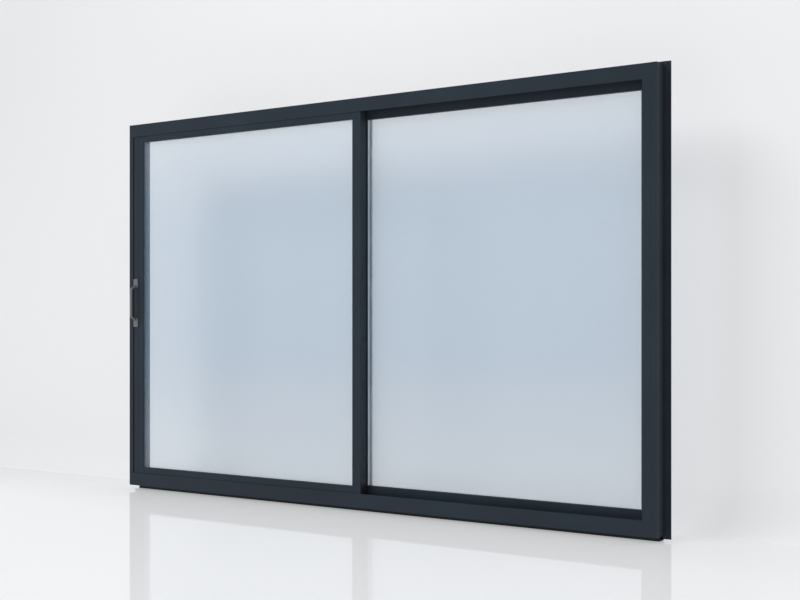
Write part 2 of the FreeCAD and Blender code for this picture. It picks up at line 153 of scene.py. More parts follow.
class Value:
    """A number that varies over a surface. Python operators on it add Math nodes."""

    def __init__(self, finish, socket):
        self.finish = finish
        self.socket = socket

    def math(self, operation, *inputs):
        """Result of one Math node."""
        values = dict(enumerate(inputs))
        return self.finish.node("ShaderNodeMath", {"operation": operation}, values)[0]

    def __add__(self, other):
        return self.math("ADD", self, other)

    def __radd__(self, other):
        return self.math("ADD", other, self)

    def __sub__(self, other):
        return self.math("SUBTRACT", self, other)

    def __rsub__(self, other):
        return self.math("SUBTRACT", other, self)

    def __mul__(self, other):
        return self.math("MULTIPLY", self, other)

    def __rmul__(self, other):
        return self.math("MULTIPLY", other, self)

    def unsigned(self):
        """The number without its sign."""
        return self.math("ABSOLUTE", self)

    def swing(self, spread):
        """A noise from 0 to 1 as a swing of this full width about zero."""
        return (self - 0.5) * spread

    def between(self, low, high):
        """0 at low, 1 at high, eased and held at both ends."""
        settings = {"interpolation_type": "SMOOTHSTEP"}
        inputs = {"Value": self, "From Min": low, "From Max": high}
        return self.finish.node("ShaderNodeMapRange", settings, inputs)[0]


class Finish:
    """One procedural material or world, built node by node on Object coordinates."""

    def __init__(self, name, library=None):
        library = bpy.data.materials if library is None else library
        self.holder = library.new(name)
        self.holder.use_nodes = True
        self.nodes = self.holder.node_tree.nodes
        self.links = self.holder.node_tree.links
        self.nodes.clear()
        self.place = self.node("ShaderNodeTexCoord", {}, {})["Object"]

    def node(self, kind, settings, inputs):
        """Adds a node, sets it up, fills its sockets and gives back its outputs."""
        made = self.nodes.new(kind)
        for setting, value in settings.items():
            setattr(made, setting, value)
        for key, value in inputs.items():
            socket = made.inputs[key]
            if isinstance(value, Value):
                self.links.new(value.socket, socket)
            else:
                socket.default_value = value
        outputs = {out.name: Value(self, out) for out in made.outputs}
        outputs.update({i: Value(self, out) for i, out in enumerate(made.outputs)})
        return outputs

    def noise(self, scale, detail=2.0, stretch=EVEN):
        """Noise from 0 to 1, with its scale in waves per metre."""
        inputs = {"Vector": self.place, "Scale": stretch}
        mapped = self.node("ShaderNodeMapping", {}, inputs)[0]
        inputs = {"Vector": mapped, "Scale": scale, "Detail": detail, "Roughness": 0.55}
        return self.node("ShaderNodeTexNoise", {}, inputs)[0]

    def part_of_place(self, axis):
        """How far along one axis a point lies, in metres."""
        return self.node("ShaderNodeSeparateXYZ", {}, {0: self.place})[axis]

    def mix(self, factor, first, second):
        """Colour between first, at 0, and second, at 1."""
        settings = {"data_type": "RGBA", "blend_type": "MIX"}
        inputs = {MIX_FACTOR: factor, MIX_FIRST: first, MIX_SECOND: second}
        return self.node("ShaderNodeMix", settings, inputs)[MIX_RESULT]

    def bump(self, height, strength, distance):
        """Normal that is tilted by a height."""
        inputs = {"Height": height, "Strength": strength, "Distance": distance}
        return self.node("ShaderNodeBump", {}, inputs)[0]

    def surface(self, inputs):
        """Ends the material in one Principled shader."""
        shader = self.node("ShaderNodeBsdfPrincipled", {}, inputs)[0]
        self.node("ShaderNodeOutputMaterial", {}, {"Surface": shader})
        return self.holder


def rgba(colour):
    """Three numbers as a shader colour."""
    return (colour[0], colour[1], colour[2], 1.0)


def scaled(colour, factor):
    """A colour made lighter or darker, as a shader colour."""
    return rgba([min(1.0, part * factor) for part in colour])


def powder_coat(name, sizes, shade=1.0):
    """Satin powder coat with fine orange peel and slow cloudiness."""
    finish = Finish(name)
    peel = finish.noise(scale=1.0 / sizes.grain_size)
    cloud = finish.noise(scale=3.5, detail=3.0)
    base = scaled(sizes.colour, shade)
    clouded = scaled(sizes.colour, shade * COAT_CLOUD)
    return finish.surface({
        "Base Color": finish.mix(cloud.between(0.35, 0.75), base, clouded),
        "Roughness": sizes.roughness + peel.swing(0.12) + cloud.swing(0.10),
        "IOR": 1.45,
        "Specular IOR Level": sizes.sheen,
        "Normal": finish.bump(peel, strength=0.12, distance=0.15 * MM),
    })


def glass_film(name, sizes):
    """Float glass: mostly clear, with a cool veil that is painted paler at top and bottom,
    as a painted reflection.
    """
    finish = Finish(name)
    cloud = finish.noise(scale=1.4, detail=0.0)
    # Painted reflection: the veil's colour is lifted towards white away from its middle
    # height, plus a slow random cloud.
    away = (finish.part_of_place("Z") - sizes.middle).unsigned()
    lift = away.between(*PAINTED_REFLECTION_FADE) * sizes.lift + cloud.swing(0.06)
    return finish.surface({
        "Base Color": finish.mix(lift, rgba(sizes.tint), rgba(WHITE)),
        "Roughness": sizes.roughness,
        "IOR": 1.52,
        "Alpha": sizes.veil,
    })


def rubber(name, colour):
    """Glazing rubber with a fine skin and a faint bloom."""
    finish = Finish(name)
    skin = finish.noise(scale=1400.0)
    bloom = finish.noise(scale=25.0)
    bloomed = scaled(colour, RUBBER_BLOOM)
    return finish.surface({
        "Base Color": finish.mix(bloom.between(0.4, 0.8), rgba(colour), bloomed),
        "Roughness": 0.62 + skin.swing(0.15),
        "Normal": finish.bump(skin, strength=0.15, distance=0.1 * MM),
    })


def pile(name):
    """Woven pile of the draught seals, with its tufts across the strip."""
    finish = Finish(name)
    tuft = finish.noise(scale=900.0, stretch=(1.0, 0.3, 1.0))
    base = rgba((0.012, 0.013, 0.015))
    tip = rgba((0.045, 0.047, 0.050))
    return finish.surface({
        "Base Color": finish.mix(tuft, base, tip),
        "Roughness": 0.95,
        "Normal": finish.bump(tuft, strength=0.6, distance=0.5 * MM),
    })


def metal(name, colour, roughness, stretch=EVEN):
    """Bare metal with a fine grain, which a stretch draws out into brushed lines."""
    finish = Finish(name)
    grain = finish.noise(scale=1500.0, stretch=stretch)
    wear = finish.noise(scale=18.0, detail=3.0)
    worn = scaled(colour, METAL_WEAR)
    return finish.surface({
        "Base Color": finish.mix(wear.between(0.4, 0.75), rgba(colour), worn),
        "Metallic": 1.0,
        "Roughness": roughness + grain.swing(0.12) + wear.swing(0.08),
        "Normal": finish.bump(grain, strength=0.10, distance=0.1 * MM),
    })


def handle_paint(name, sizes):
    """Satin metallic lacquer of the handle, uneven in gloss where hands go."""
    finish = Finish(name)
    fleck = finish.noise(scale=2600.0, detail=1.0)
    hand = finish.noise(scale=30.0)
    ground = scaled(sizes.colour, LACQUER_GROUND)
    return finish.surface({
        "Base Color": finish.mix(fleck.between(0.35, 0.7), ground, rgba(sizes.colour)),
        "Metallic": 0.35,
        "Roughness": 0.36 + hand.swing(0.14),
        "Normal": finish.bump(fleck, strength=0.05, distance=0.1 * MM),
    })


def moulded(name, colour, roughness):
    """Moulded nylon with a faint spark-eroded texture."""
    finish = Finish(name)
    spark = finish.noise(scale=1800.0)
    flow = finish.noise(scale=40.0)
    return finish.surface({
        "Base Color": finish.mix(flow, rgba(colour), scaled(colour, NYLON_FLOW)),
        "Roughness": roughness + spark.swing(0.1),
        "Normal": finish.bump(spark, strength=0.10, distance=0.1 * MM),
    })


def node_mesh(name):
    """Mesh of a frame node."""
    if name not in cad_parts:
        raise RuntimeError(f"The frame has no node named {name}.")
    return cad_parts[name].data


def own_material(name):
    """Material that an earlier step has given to a frame node."""
    materials = node_mesh(name).materials
    if not materials or materials[0] is None:
        raise RuntimeError(f"The node {name} has no finish yet.")
    return materials[0]


def dress(nodes, material):
    """Gives frame nodes a material in their own slots."""
    for name in nodes:
        mesh = node_mesh(name)
        mesh.materials.clear()
        mesh.materials.append(material)


def add_piece(name, shape, material, crease=CREASE):
    """Turns a closed bmesh into a finished piece that rides on the window."""
    bmesh.ops.remove_doubles(shape, verts=shape.verts, dist=0.01 * MM)
    bmesh.ops.recalc_face_normals(shape, faces=shape.faces)
    if not shape.faces or any(not edge.is_manifold for edge in shape.edges):
        raise RuntimeError(f"The piece {name} isn't closed.")
    mesh = bpy.data.meshes.new(name)
    shape.to_mesh(mesh)
    shape.free()
    mesh.materials.append(material)
    mesh.shade_smooth()
    mesh.set_sharp_from_angle(angle=math.radians(crease))
    piece = bpy.data.objects.new(name, mesh)
    bpy.context.scene.collection.objects.link(piece)
    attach(piece, BODY)
    return piece


def join(target, part):
    """Moves one bmesh's shape into another."""
    mesh = bpy.data.meshes.new("part")
    part.to_mesh(mesh)
    part.free()
    target.from_mesh(mesh)
    bpy.data.meshes.remove(mesh)


def block(low, high):
    """Bmesh of a block between two corners."""
    shape = bmesh.new()
    size = Matrix.Diagonal((*(high - low), 1.0))
    place = Matrix.Translation((low + high) / 2.0)
    bmesh.ops.create_cube(shape, size=1.0, matrix=place @ size)
    return shape


def soften(shape, edges, width, segments):
    """Rounds edges."""
    bmesh.ops.bevel(
        shape, geom=edges, offset=width, offset_type="OFFSET", affect="EDGES",
        segments=segments, profile=0.5, material=-1, clamp_overlap=True,
    )


def edges_along(shape, axis):
    """Edges that run along one axis, given by number."""
    aligned = 0.999
    found = []
    for edge in shape.edges:
        line = (edge.verts[1].co - edge.verts[0].co).normalized()
        if abs(line[axis]) > aligned:
            found.append(edge)
    return found


def outermost(shape, axis, sign):
    """Face whose middle lies furthest along one axis, or furthest back for sign -1."""
    return max(shape.faces, key=lambda face: sign * face.calc_center_median()[axis])


def run_on(shape, faces, step):
    """Extrudes the end of a bar by a vector and gives back its new end."""
    made = bmesh.ops.extrude_face_region(shape, geom=faces)["geom"]
    corners = [item for item in made if isinstance(item, bmesh.types.BMVert)]
    bmesh.ops.translate(shape, verts=corners, vec=step)
    bmesh.ops.delete(shape, geom=faces, context="FACES_ONLY")
    return [item for item in made if isinstance(item, bmesh.types.BMFace)]


def turn(shape, faces, centre, angle):
    """Spins the end of a bar round a bend and gives back its new end."""
    made = bmesh.ops.spin(
        shape, geom=faces, cent=centre, axis=ACROSS, dvec=(0.0, 0.0, 0.0),
        angle=angle, steps=BEND_STEPS,
    )["geom_last"]
    bmesh.ops.delete(shape, geom=faces, context="FACES_ONLY")
    return [item for item in made if isinstance(item, bmesh.types.BMFace)]


def sunk_face(shape):
    """Highest face of a screw head, and of equals the smallest, furthest to the right.

    On a frame screw that is the round middle. On a handle screw the facets of the rim
    lie a rounding error higher, so one of them sinks in instead.
    """
    def rank(face):
        middle = face.calc_center_median()
        return middle.z, -face.calc_area(), middle.x

    return max(shape.faces, key=rank)


def screw_head(place, outward, radius, height, inner):
    """Round screw head with a recess, standing on a face."""
    shape = bmesh.new()
    bmesh.ops.create_cone(
        shape, cap_ends=True, segments=24, depth=height,
        radius1=radius, radius2=radius * SCREW_TAPER,
        matrix=Matrix.Translation((0.0, 0.0, height / 2.0)),
    )
    rounding = height * SCREW_ROUNDING
    soften(shape, list(outermost(shape, 2, 1.0).edges), rounding, segments=3)
    rim = radius * SCREW_TAPER - rounding - inner
    bmesh.ops.inset_region(shape, faces=[outermost(shape, 2, 1.0)], thickness=rim)
    run_on(shape, [sunk_face(shape)], -UP * height * RECESS_DEPTH)
    turned = UP.rotation_difference(outward).to_matrix().to_4x4()
    placed = Matrix.Translation(place) @ turned
    bmesh.ops.transform(shape, matrix=placed, verts=shape.verts)
    return shape


class FrameSettings(bpy.types.PropertyGroup):
    """Paint of the frame and the sashes"""

    colour: bpy.props.FloatVectorProperty(
        name="Paint", description="Powder coat colour",
        default=(0.0200, 0.0300, 0.0405), subtype="COLOR", size=3, min=0.0, max=1.0,
    )
    roughness: bpy.props.FloatProperty(
        name="Roughness", description="Mean roughness of the coat",
        default=0.50, min=0.0, max=1.0,
    )
    sheen: bpy.props.FloatProperty(
        name="Sheen", description="Strength of the coat's highlights",
        default=0.25, min=0.0, max=1.0,
    )
    grain_size: bpy.props.FloatProperty(
        name="Grain", description="Size of the orange peel",
        default=1.1 * MM, unit="LENGTH", precision=5,
    )
    sash_shade: bpy.props.FloatProperty(
        name="Sash shade", description="Paint of the sashes against the frame's",
        default=0.96,
    )
    # Painted shade: the base strip sits back under the sill, and its paint is darkened to
    # stand for the shade there.
    base_painted_shade: bpy.props.FloatProperty(
        name="Base shade", description="Paint of the base strip against the frame's",
        default=0.7,
    )


class GlassSettings(bpy.types.PropertyGroup):
    """Panes, spacers and gaskets"""

    tint: bpy.props.FloatVectorProperty(
        name="Tint", description="Colour of the veil on the glass",
        default=(0.42, 0.60, 0.78), subtype="COLOR", size=3, min=0.0, max=1.0,
    )
    veil: bpy.props.FloatProperty(
        name="Veil", description="Share of light that each face of a pane keeps back",
        default=0.155, min=0.0, max=1.0,
    )
    # Middle and lift set a painted reflection: the veil's colour is painted paler away
    # from the middle height.
    middle: bpy.props.FloatProperty(
        name="Middle", description="Height at which the veil is deepest",
        default=0.84, unit="LENGTH",
    )
    lift: bpy.props.FloatProperty(
        name="Lift", description="How much paler the veil is far from that height",
        default=0.38, min=0.0, max=1.0,
    )
    roughness: bpy.props.FloatProperty(
        name="Roughness", description="Roughness of the glass",
        default=0.04, min=0.0, max=1.0,
    )
    rubber: bpy.props.FloatVectorProperty(
        name="Rubber", description="Colour of the gaskets",
        default=(0.070, 0.090, 0.120), subtype="COLOR", size=3, min=0.0, max=1.0,
    )
    front_spacer: bpy.props.FloatVectorProperty(
        name="Front spacer", description="Metal between the front sash's panes",
        default=(0.10, 0.11, 0.12), subtype="COLOR", size=3, min=0.0, max=1.0,
    )
    rear_spacer: bpy.props.FloatVectorProperty(
        name="Rear spacer", description="Metal between the rear sash's panes",
        default=(0.80, 0.85, 0.90), subtype="COLOR", size=3, min=0.0, max=1.0,
    )
    pale_rubber: bpy.props.FloatVectorProperty(
        name="Pale rubber", description="Colour of the rear sash's inner gasket",
        default=(0.62, 0.68, 0.74), subtype="COLOR", size=3, min=0.0, max=1.0,
    )
    lip: bpy.props.FloatProperty(
        name="Lip", description="Rounding of a gasket's visible lip",
        default=1.2 * MM, unit="LENGTH", precision=5,
    )


class HandleSettings(bpy.types.PropertyGroup):
    """Pull handle and screws"""

    colour: bpy.props.FloatVectorProperty(
        name="Lacquer", description="Colour of the handle",
        default=(0.19, 0.195, 0.20), subtype="COLOR", size=3, min=0.0, max=1.0,
    )
    corner: bpy.props.FloatProperty(
        name="Corner", description="Corner radius of a foot plate",
        default=4.0 * MM, unit="LENGTH", precision=5,
    )
    edge: bpy.props.FloatProperty(
        name="Edge", description="Rounding of a foot plate's front",
        default=1.2 * MM, unit="LENGTH", precision=5,
    )
    thickness: bpy.props.FloatProperty(
        name="Thickness", description="Depth of the grip's oval bar",
        default=9.0 * MM, unit="LENGTH", precision=5,
    )
    bend: bpy.props.FloatProperty(
        name="Bend", description="Radius of the grip's two bends",
        default=12.0 * MM, unit="LENGTH", precision=5,
    )
    root: bpy.props.FloatProperty(
        name="Root", description="Where the grip leaves a plate, from its inner end",
        default=8.0 * MM, unit="LENGTH", precision=5,
    )
    slant: bpy.props.FloatProperty(
        name="Slant", description="Height that each slanted leg of the grip takes",
        default=16.0 * MM, unit="LENGTH", precision=5,
    )
    screw: bpy.props.FloatProperty(
        name="Screw", description="Radius of a screw head",
        default=3.0 * MM, unit="LENGTH", precision=5,
    )


class StageSettings(bpy.types.PropertyGroup):
    """Floor, wall, light and camera"""

    pale: bpy.props.FloatVectorProperty(
        name="Pale", description="Colour of the floor and the wall",
        default=(0.86, 0.862, 0.87), subtype="COLOR", size=3, min=0.0, max=1.0,
    )
    share: bpy.props.FloatProperty(
        name="Share", description="Part of that colour that the wall's paint shows",
        default=0.70, min=0.0, max=1.0,
    )
    floor_share: bpy.props.FloatProperty(
        name="Floor share", description="Part of it that the floor's paint shows",
        default=0.50, min=0.0, max=1.0,
    )
    glow: bpy.props.FloatProperty(
        name="Glow", description="Light that the wall gives, like a lit backdrop",
        default=0.445, min=0.0,
    )
    floor_glow: bpy.props.FloatProperty(
        name="Floor glow", description="Light that the floor gives by itself",
        default=0.585, min=0.0,
    )
    front_shade: bpy.props.FloatProperty(
        name="Front shade", description="Glow of the floor in front against the back",
        default=1.1, min=0.0,
    )
    edge_shade: bpy.props.FloatProperty(
        name="Edge shade", description="Glow of the left edge against the middle",
        default=0.58, min=0.0, max=1.0,
    )
    polish: bpy.props.FloatProperty(
        name="Polish", description="Strength of the floor's reflections",
        default=0.62, min=0.0, max=1.0,
    )
    wall_gap: bpy.props.FloatProperty(
        name="Wall gap", description="From the window's back to the wall",
        default=0.29, unit="LENGTH",
    )
    cove: bpy.props.FloatProperty(
        name="Cove", description="Radius between floor and wall",
        default=0.16, unit="LENGTH",
    )
    key_power: bpy.props.FloatProperty(
        name="Key light", description="Power of the large soft light",
        default=440.0, unit="POWER",
    )
    key_place: bpy.props.FloatVectorProperty(
        name="Key place", description="Place of the large soft light",
        default=(-4.2, -7.2, 7.2), subtype="TRANSLATION", size=3, unit="LENGTH",
    )
    key_size: bpy.props.FloatVectorProperty(
        name="Key size", description="Width and height of the large soft light",
        default=(5.6, 4.0), size=2, unit="LENGTH",
    )
    sky: bpy.props.FloatProperty(
        name="Ambient", description="Strength of the even light all round",
        default=0.40, min=0.0,
    )
    haze: bpy.props.FloatProperty(
        name="Haze", description="How bright the space beyond the floor and wall looks",
        default=0.75, min=0.0, max=1.0,
    )
    camera_place: bpy.props.FloatVectorProperty(
        name="Camera", description="Place of the camera",
        default=(2.6853, -3.7830, 0.7017), subtype="TRANSLATION", size=3,
        unit="LENGTH",
    )
    camera_turn: bpy.props.FloatProperty(
        name="Turn", description="Turn of the level camera from the square view",
        default=math.radians(33.814), unit="ROTATION",
    )
    lens: bpy.props.FloatProperty(
        name="Lens", description="Focal length",
        default=56.35, unit="CAMERA",
    )
    shift: bpy.props.FloatProperty(
        name="Shift", description="Upward shift of the picture",
        default=0.0261,
    )


class WINDOW_OT_paint_frame(bpy.types.Operator):
    """Paint the outer frame, its fins, covers and base"""

    bl_idname = "window.paint_frame"
    bl_label = "Paint Frame"

    def execute(self, context):
        sizes = context.scene.window_frame
        dress(FRAME_NODES, powder_coat("frame_paint", sizes))
        # The base strip's darker paint is painted shade under the sill.
        dress(("base_strip",), powder_coat("base_paint_painted_shade", sizes, sizes.base_painted_shade))
        return {"FINISHED"}


class WINDOW_OT_paint_sashes(bpy.types.Operator):
    """Paint the stiles and rails of both sashes"""

    bl_idname = "window.paint_sashes"
    bl_label = "Paint Sashes"

    def execute(self, context):
        sizes = context.scene.window_frame
        dress(SASH_NODES, powder_coat("sash_paint", sizes, sizes.sash_shade))
        return {"FINISHED"}


class WINDOW_OT_finish_glass(bpy.types.Operator):
    """Give the panes, spacers and gaskets their finish"""

    bl_idname = "window.finish_glass"
    bl_label = "Finish Glass"

    def execute(self, context):
        sizes = context.scene.window_glass
        film = glass_film("glass", sizes)
        spacers = {
            "front": metal("front_spacer_metal", sizes.front_spacer, roughness=0.4),
            "rear": metal("rear_spacer_metal", sizes.rear_spacer, roughness=0.4),
        }
        dark = rubber("gasket_rubber", sizes.rubber)
        pale = rubber("pale_gasket_rubber", sizes.pale_rubber)
        inner_gaskets = {"front": dark, "rear": pale}
        for sash in SASHES:
            dress((sash + "_outer_pane", sash + "_inner_pane"), film)
            dress((sash + "_glass_spacer",), spacers[sash])
            dress((sash + "_outer_gasket",), dark)
            dress((sash + "_inner_gasket",), inner_gaskets[sash])
        return {"FINISHED"}


class WINDOW_OT_finish_tracks(bpy.types.Operator):
    """Give the tracks, wheels and carriages their finish"""

    bl_idname = "window.finish_tracks"
    bl_label = "Finish Tracks"

    def execute(self, context):
        finishes = {
            "track": metal(
                "track_steel", (0.55, 0.56, 0.57), roughness=0.28, stretch=ALONG_X,
            ),
            "roller_wheels": moulded(
                "wheel_nylon", (0.55, 0.55, 0.52), roughness=0.45,
            ),
            "roller_carriages": moulded(
                "carriage_nylon", (0.03, 0.03, 0.033), roughness=0.5,
            ),
        }
        for piece, material in finishes.items():
            dress([f"{sash}_{piece}" for sash in SASHES], material)
        return {"FINISHED"}


class WINDOW_OT_round_gaskets(bpy.types.Operator):
    """Make the gaskets of both sashes with rounded lips"""

    bl_idname = "window.round_gaskets"
    bl_label = "Round Gaskets"

    def execute(self, context):
        lip = context.scene.window_glass.lip
        for sash in SASHES:
            for side in ("outer", "inner"):
                node = f"{sash}_{side}_gasket"
                shape = self.lip_ring(node, lip, side == "outer")
                material = own_material(node)
                piece = add_piece(node + "_lip", shape, material)
                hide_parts(node)
        return {"FINISHED"}

    def hole(self, node, low, high):
        """Left, right, bottom and top of the hole in a ring node."""
        places = [vert.co for vert in node_mesh(node).vertices]
        clear = 0.1 * MM
        across = [p.x for p in places if low.x + clear < p.x < high.x - clear]
        upward = [p.z for p in places if low.z + clear < p.z < high.z - clear]
        return min(across), max(across), min(upward), max(upward)

    def lip_ring(self, node, lip, faces_front):
        """Ring like the node, whose visible inner edge is rounded."""
        low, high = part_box(node)
        left, right, bottom, top = self.hole(node, low, high)
        shape = block(low, high)
        front = outermost(shape, 1, -1.0)
        back = outermost(shape, 1, 1.0)
        # The inset makes four corners on each side, which then move to the hole's.
        bmesh.ops.inset_individual(
            shape, faces=[front, back], thickness=MM, use_even_offset=True,
        )
        middle = (low + high) / 2.0
        for vert in list(front.verts) + list(back.verts):
            vert.co.x = left if vert.co.x < middle.x else right
            vert.co.z = bottom if vert.co.z < middle.z else top
        shown = list(front.edges if faces_front else back.edges)
        bmesh.ops.bridge_loops(shape, edges=list(front.edges) + list(back.edges))
        bmesh.ops.delete(shape, geom=[front, back], context="FACES_ONLY")
        soften(shape, shown, lip, segments=4)
        return shape


class WINDOW_OT_add_seals(bpy.types.Operator):
    """Add the pile seals between the sashes and the frame's lips"""

    bl_idname = "window.add_seals"
    bl_label = "Add Seals"

    def execute(self, context):
        material = pile("pile_seal")
        head_low, head_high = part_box("head")
        sill_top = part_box("sill")[1].z
        for sash in SASHES:
            low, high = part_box(OUTER_STILES[sash])
            rail_low, rail_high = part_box(sash + "_top_rail")
            left = min(low.x, rail_low.x)
            right = max(high.x, rail_high.x)
            if sash == "front":
                gap = (head_low.y + LIP_WALL, low.y)
            else:
                gap = (high.y, head_high.y - LIP_WALL)
            upper = (head_low.z + SEAL_NEAR, head_low.z + SEAL_FAR)
            lower = (sill_top - SEAL_FAR, sill_top - SEAL_NEAR)
            shape = self.strip(left, right, gap, upper)
            join(shape, self.strip(left, right, gap, lower))
            add_piece(sash + "_pile_seals", shape, material)
        return {"FINISHED"}

    def strip(self, left, right, gap, heights):
        """One strip of pile, with its long edges rounded."""
        low = Vector((left, gap[0], heights[0]))
        high = Vector((right, gap[1], heights[1]))
        shape = block(low, high)
        rounding = (gap[1] - gap[0]) * SEAL_ROUNDING
        soften(shape, edges_along(shape, 0), rounding, segments=3)
        return shape


class WINDOW_OT_add_handle(bpy.types.Operator):
    """Add the pull handle: two foot plates, the bowed grip and four screws"""

    bl_idname = "window.add_handle"
    bl_label = "Add Handle"

    def execute(self, context):
        sizes = context.scene.window_handle
        lacquer = handle_paint("handle_lacquer", sizes)
        for end in ("upper", "lower"):
            node = end + "_handle_foot"
            plate = self.plate(node, sizes)
            piece = add_piece(node + "_plate", plate, lacquer)
            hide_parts(node)
        bow = self.grip(sizes)
        piece = add_piece("handle_grip_bow", bow, lacquer, GRIP_CREASE)
        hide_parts("handle_grip")
        steel = metal("screw_steel", (0.30, 0.31, 0.32), roughness=0.3)
        add_piece("handle_screws", self.screws(sizes), steel)
        return {"FINISHED"}

    def plate(self, node, sizes):
        """Foot plate with rounded corners and a rounded front."""
        shape = block(*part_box(node))
        soften(shape, edges_along(shape, 1), sizes.corner, segments=6)
        front = outermost(shape, 1, -1.0)
        soften(shape, list(front.edges), sizes.edge, segments=3)
        return shape

    def grip(self, sizes):
        """Oval bar swept from foot to foot by straight runs and two bends."""
        low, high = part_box("handle_grip")
        plate_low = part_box("upper_handle_foot")[0]
        x = (low.x + high.x) / 2.0
        start = Vector((x, plate_low.y + GRIP_SUNK, plate_low.z + sizes.root))
        knee = Vector((x, low.y + sizes.thickness / 2.0, start.z - sizes.slant))
        end_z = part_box("lower_handle_foot")[1].z - sizes.root
        leg = (knee - start).normalized()
        angle = leg.angle(-UP)
        cut = sizes.bend * math.tan(angle / 2.0)
        leg_run = (knee - start).length - cut
        middle_run = -UP * (start.z - end_z - 2.0 * (sizes.slant + cut))

        shape = bmesh.new()
        bmesh.ops.create_cone(
            shape, cap_ends=True, segments=32, radius1=1.0, radius2=1.0, depth=leg_run,
            matrix=Matrix.Translation((0.0, 0.0, leg_run / 2.0)),
        )
        end = [outermost(shape, 2, 1.0)]
        forward = leg.cross(ACROSS)
        basis = Matrix((ACROSS, forward, leg)).transposed().to_4x4()
        half_sizes = ((high.x - low.x) / 2.0, sizes.thickness / 2.0, 1.0, 1.0)
        placed = Matrix.Translation(start) @ basis @ Matrix.Diagonal(half_sizes)
        bmesh.ops.transform(shape, matrix=placed, verts=shape.verts)

        centre = start + leg * leg_run - forward * sizes.bend
        end = turn(shape, end, centre, angle)
        end = run_on(shape, end, middle_run)
        end = turn(shape, end, centre + middle_run, angle)
        last_leg = Matrix.Rotation(angle, 3, "X") @ -UP
        run_on(shape, end, last_leg * leg_run)
        return shape

    def screws(self, sizes):
        """Two screws on each plate, beyond the grip's root."""
        whole = bmesh.new()
        for end in ("upper", "lower"):
            low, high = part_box(end + "_handle_foot")
            x = (low.x + high.x) / 2.0
            for radii in PLATE_SCREW_STEPS:
                step = radii * sizes.screw
                z = high.z - step if end == "upper" else low.z + step
                place = Vector((x, low.y, z))
                join(whole, screw_head(place, FORWARD, sizes.screw, **HANDLE_SCREW))
        return whole


class WINDOW_OT_add_frame_screws(bpy.types.Operator):
    """Add the screws that draw the jambs onto the head and the sill"""

    bl_idname = "window.add_frame_screws"
    bl_label = "Add Frame Screws"

    def execute(self, context):
        radius = context.scene.window_handle.screw * FRAME_SCREW_SCALE
        low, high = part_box("left_jamb")
        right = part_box("right_jamb")[1].x
        whole = bmesh.new()
        for x, outward in ((low.x, -ACROSS), (right, ACROSS)):
            for z in (low.z + FRAME_SCREW_END, high.z - FRAME_SCREW_END):
                for depth in FRAME_SCREW_DEPTHS:
                    place = Vector((x, low.y + depth, z))
                    join(whole, screw_head(place, outward, radius, **FRAME_SCREW))
        steel = metal("frame_screw_steel", (0.08, 0.09, 0.10), roughness=0.4)
        add_piece("frame_screws", whole, steel)
        return {"FINISHED"}


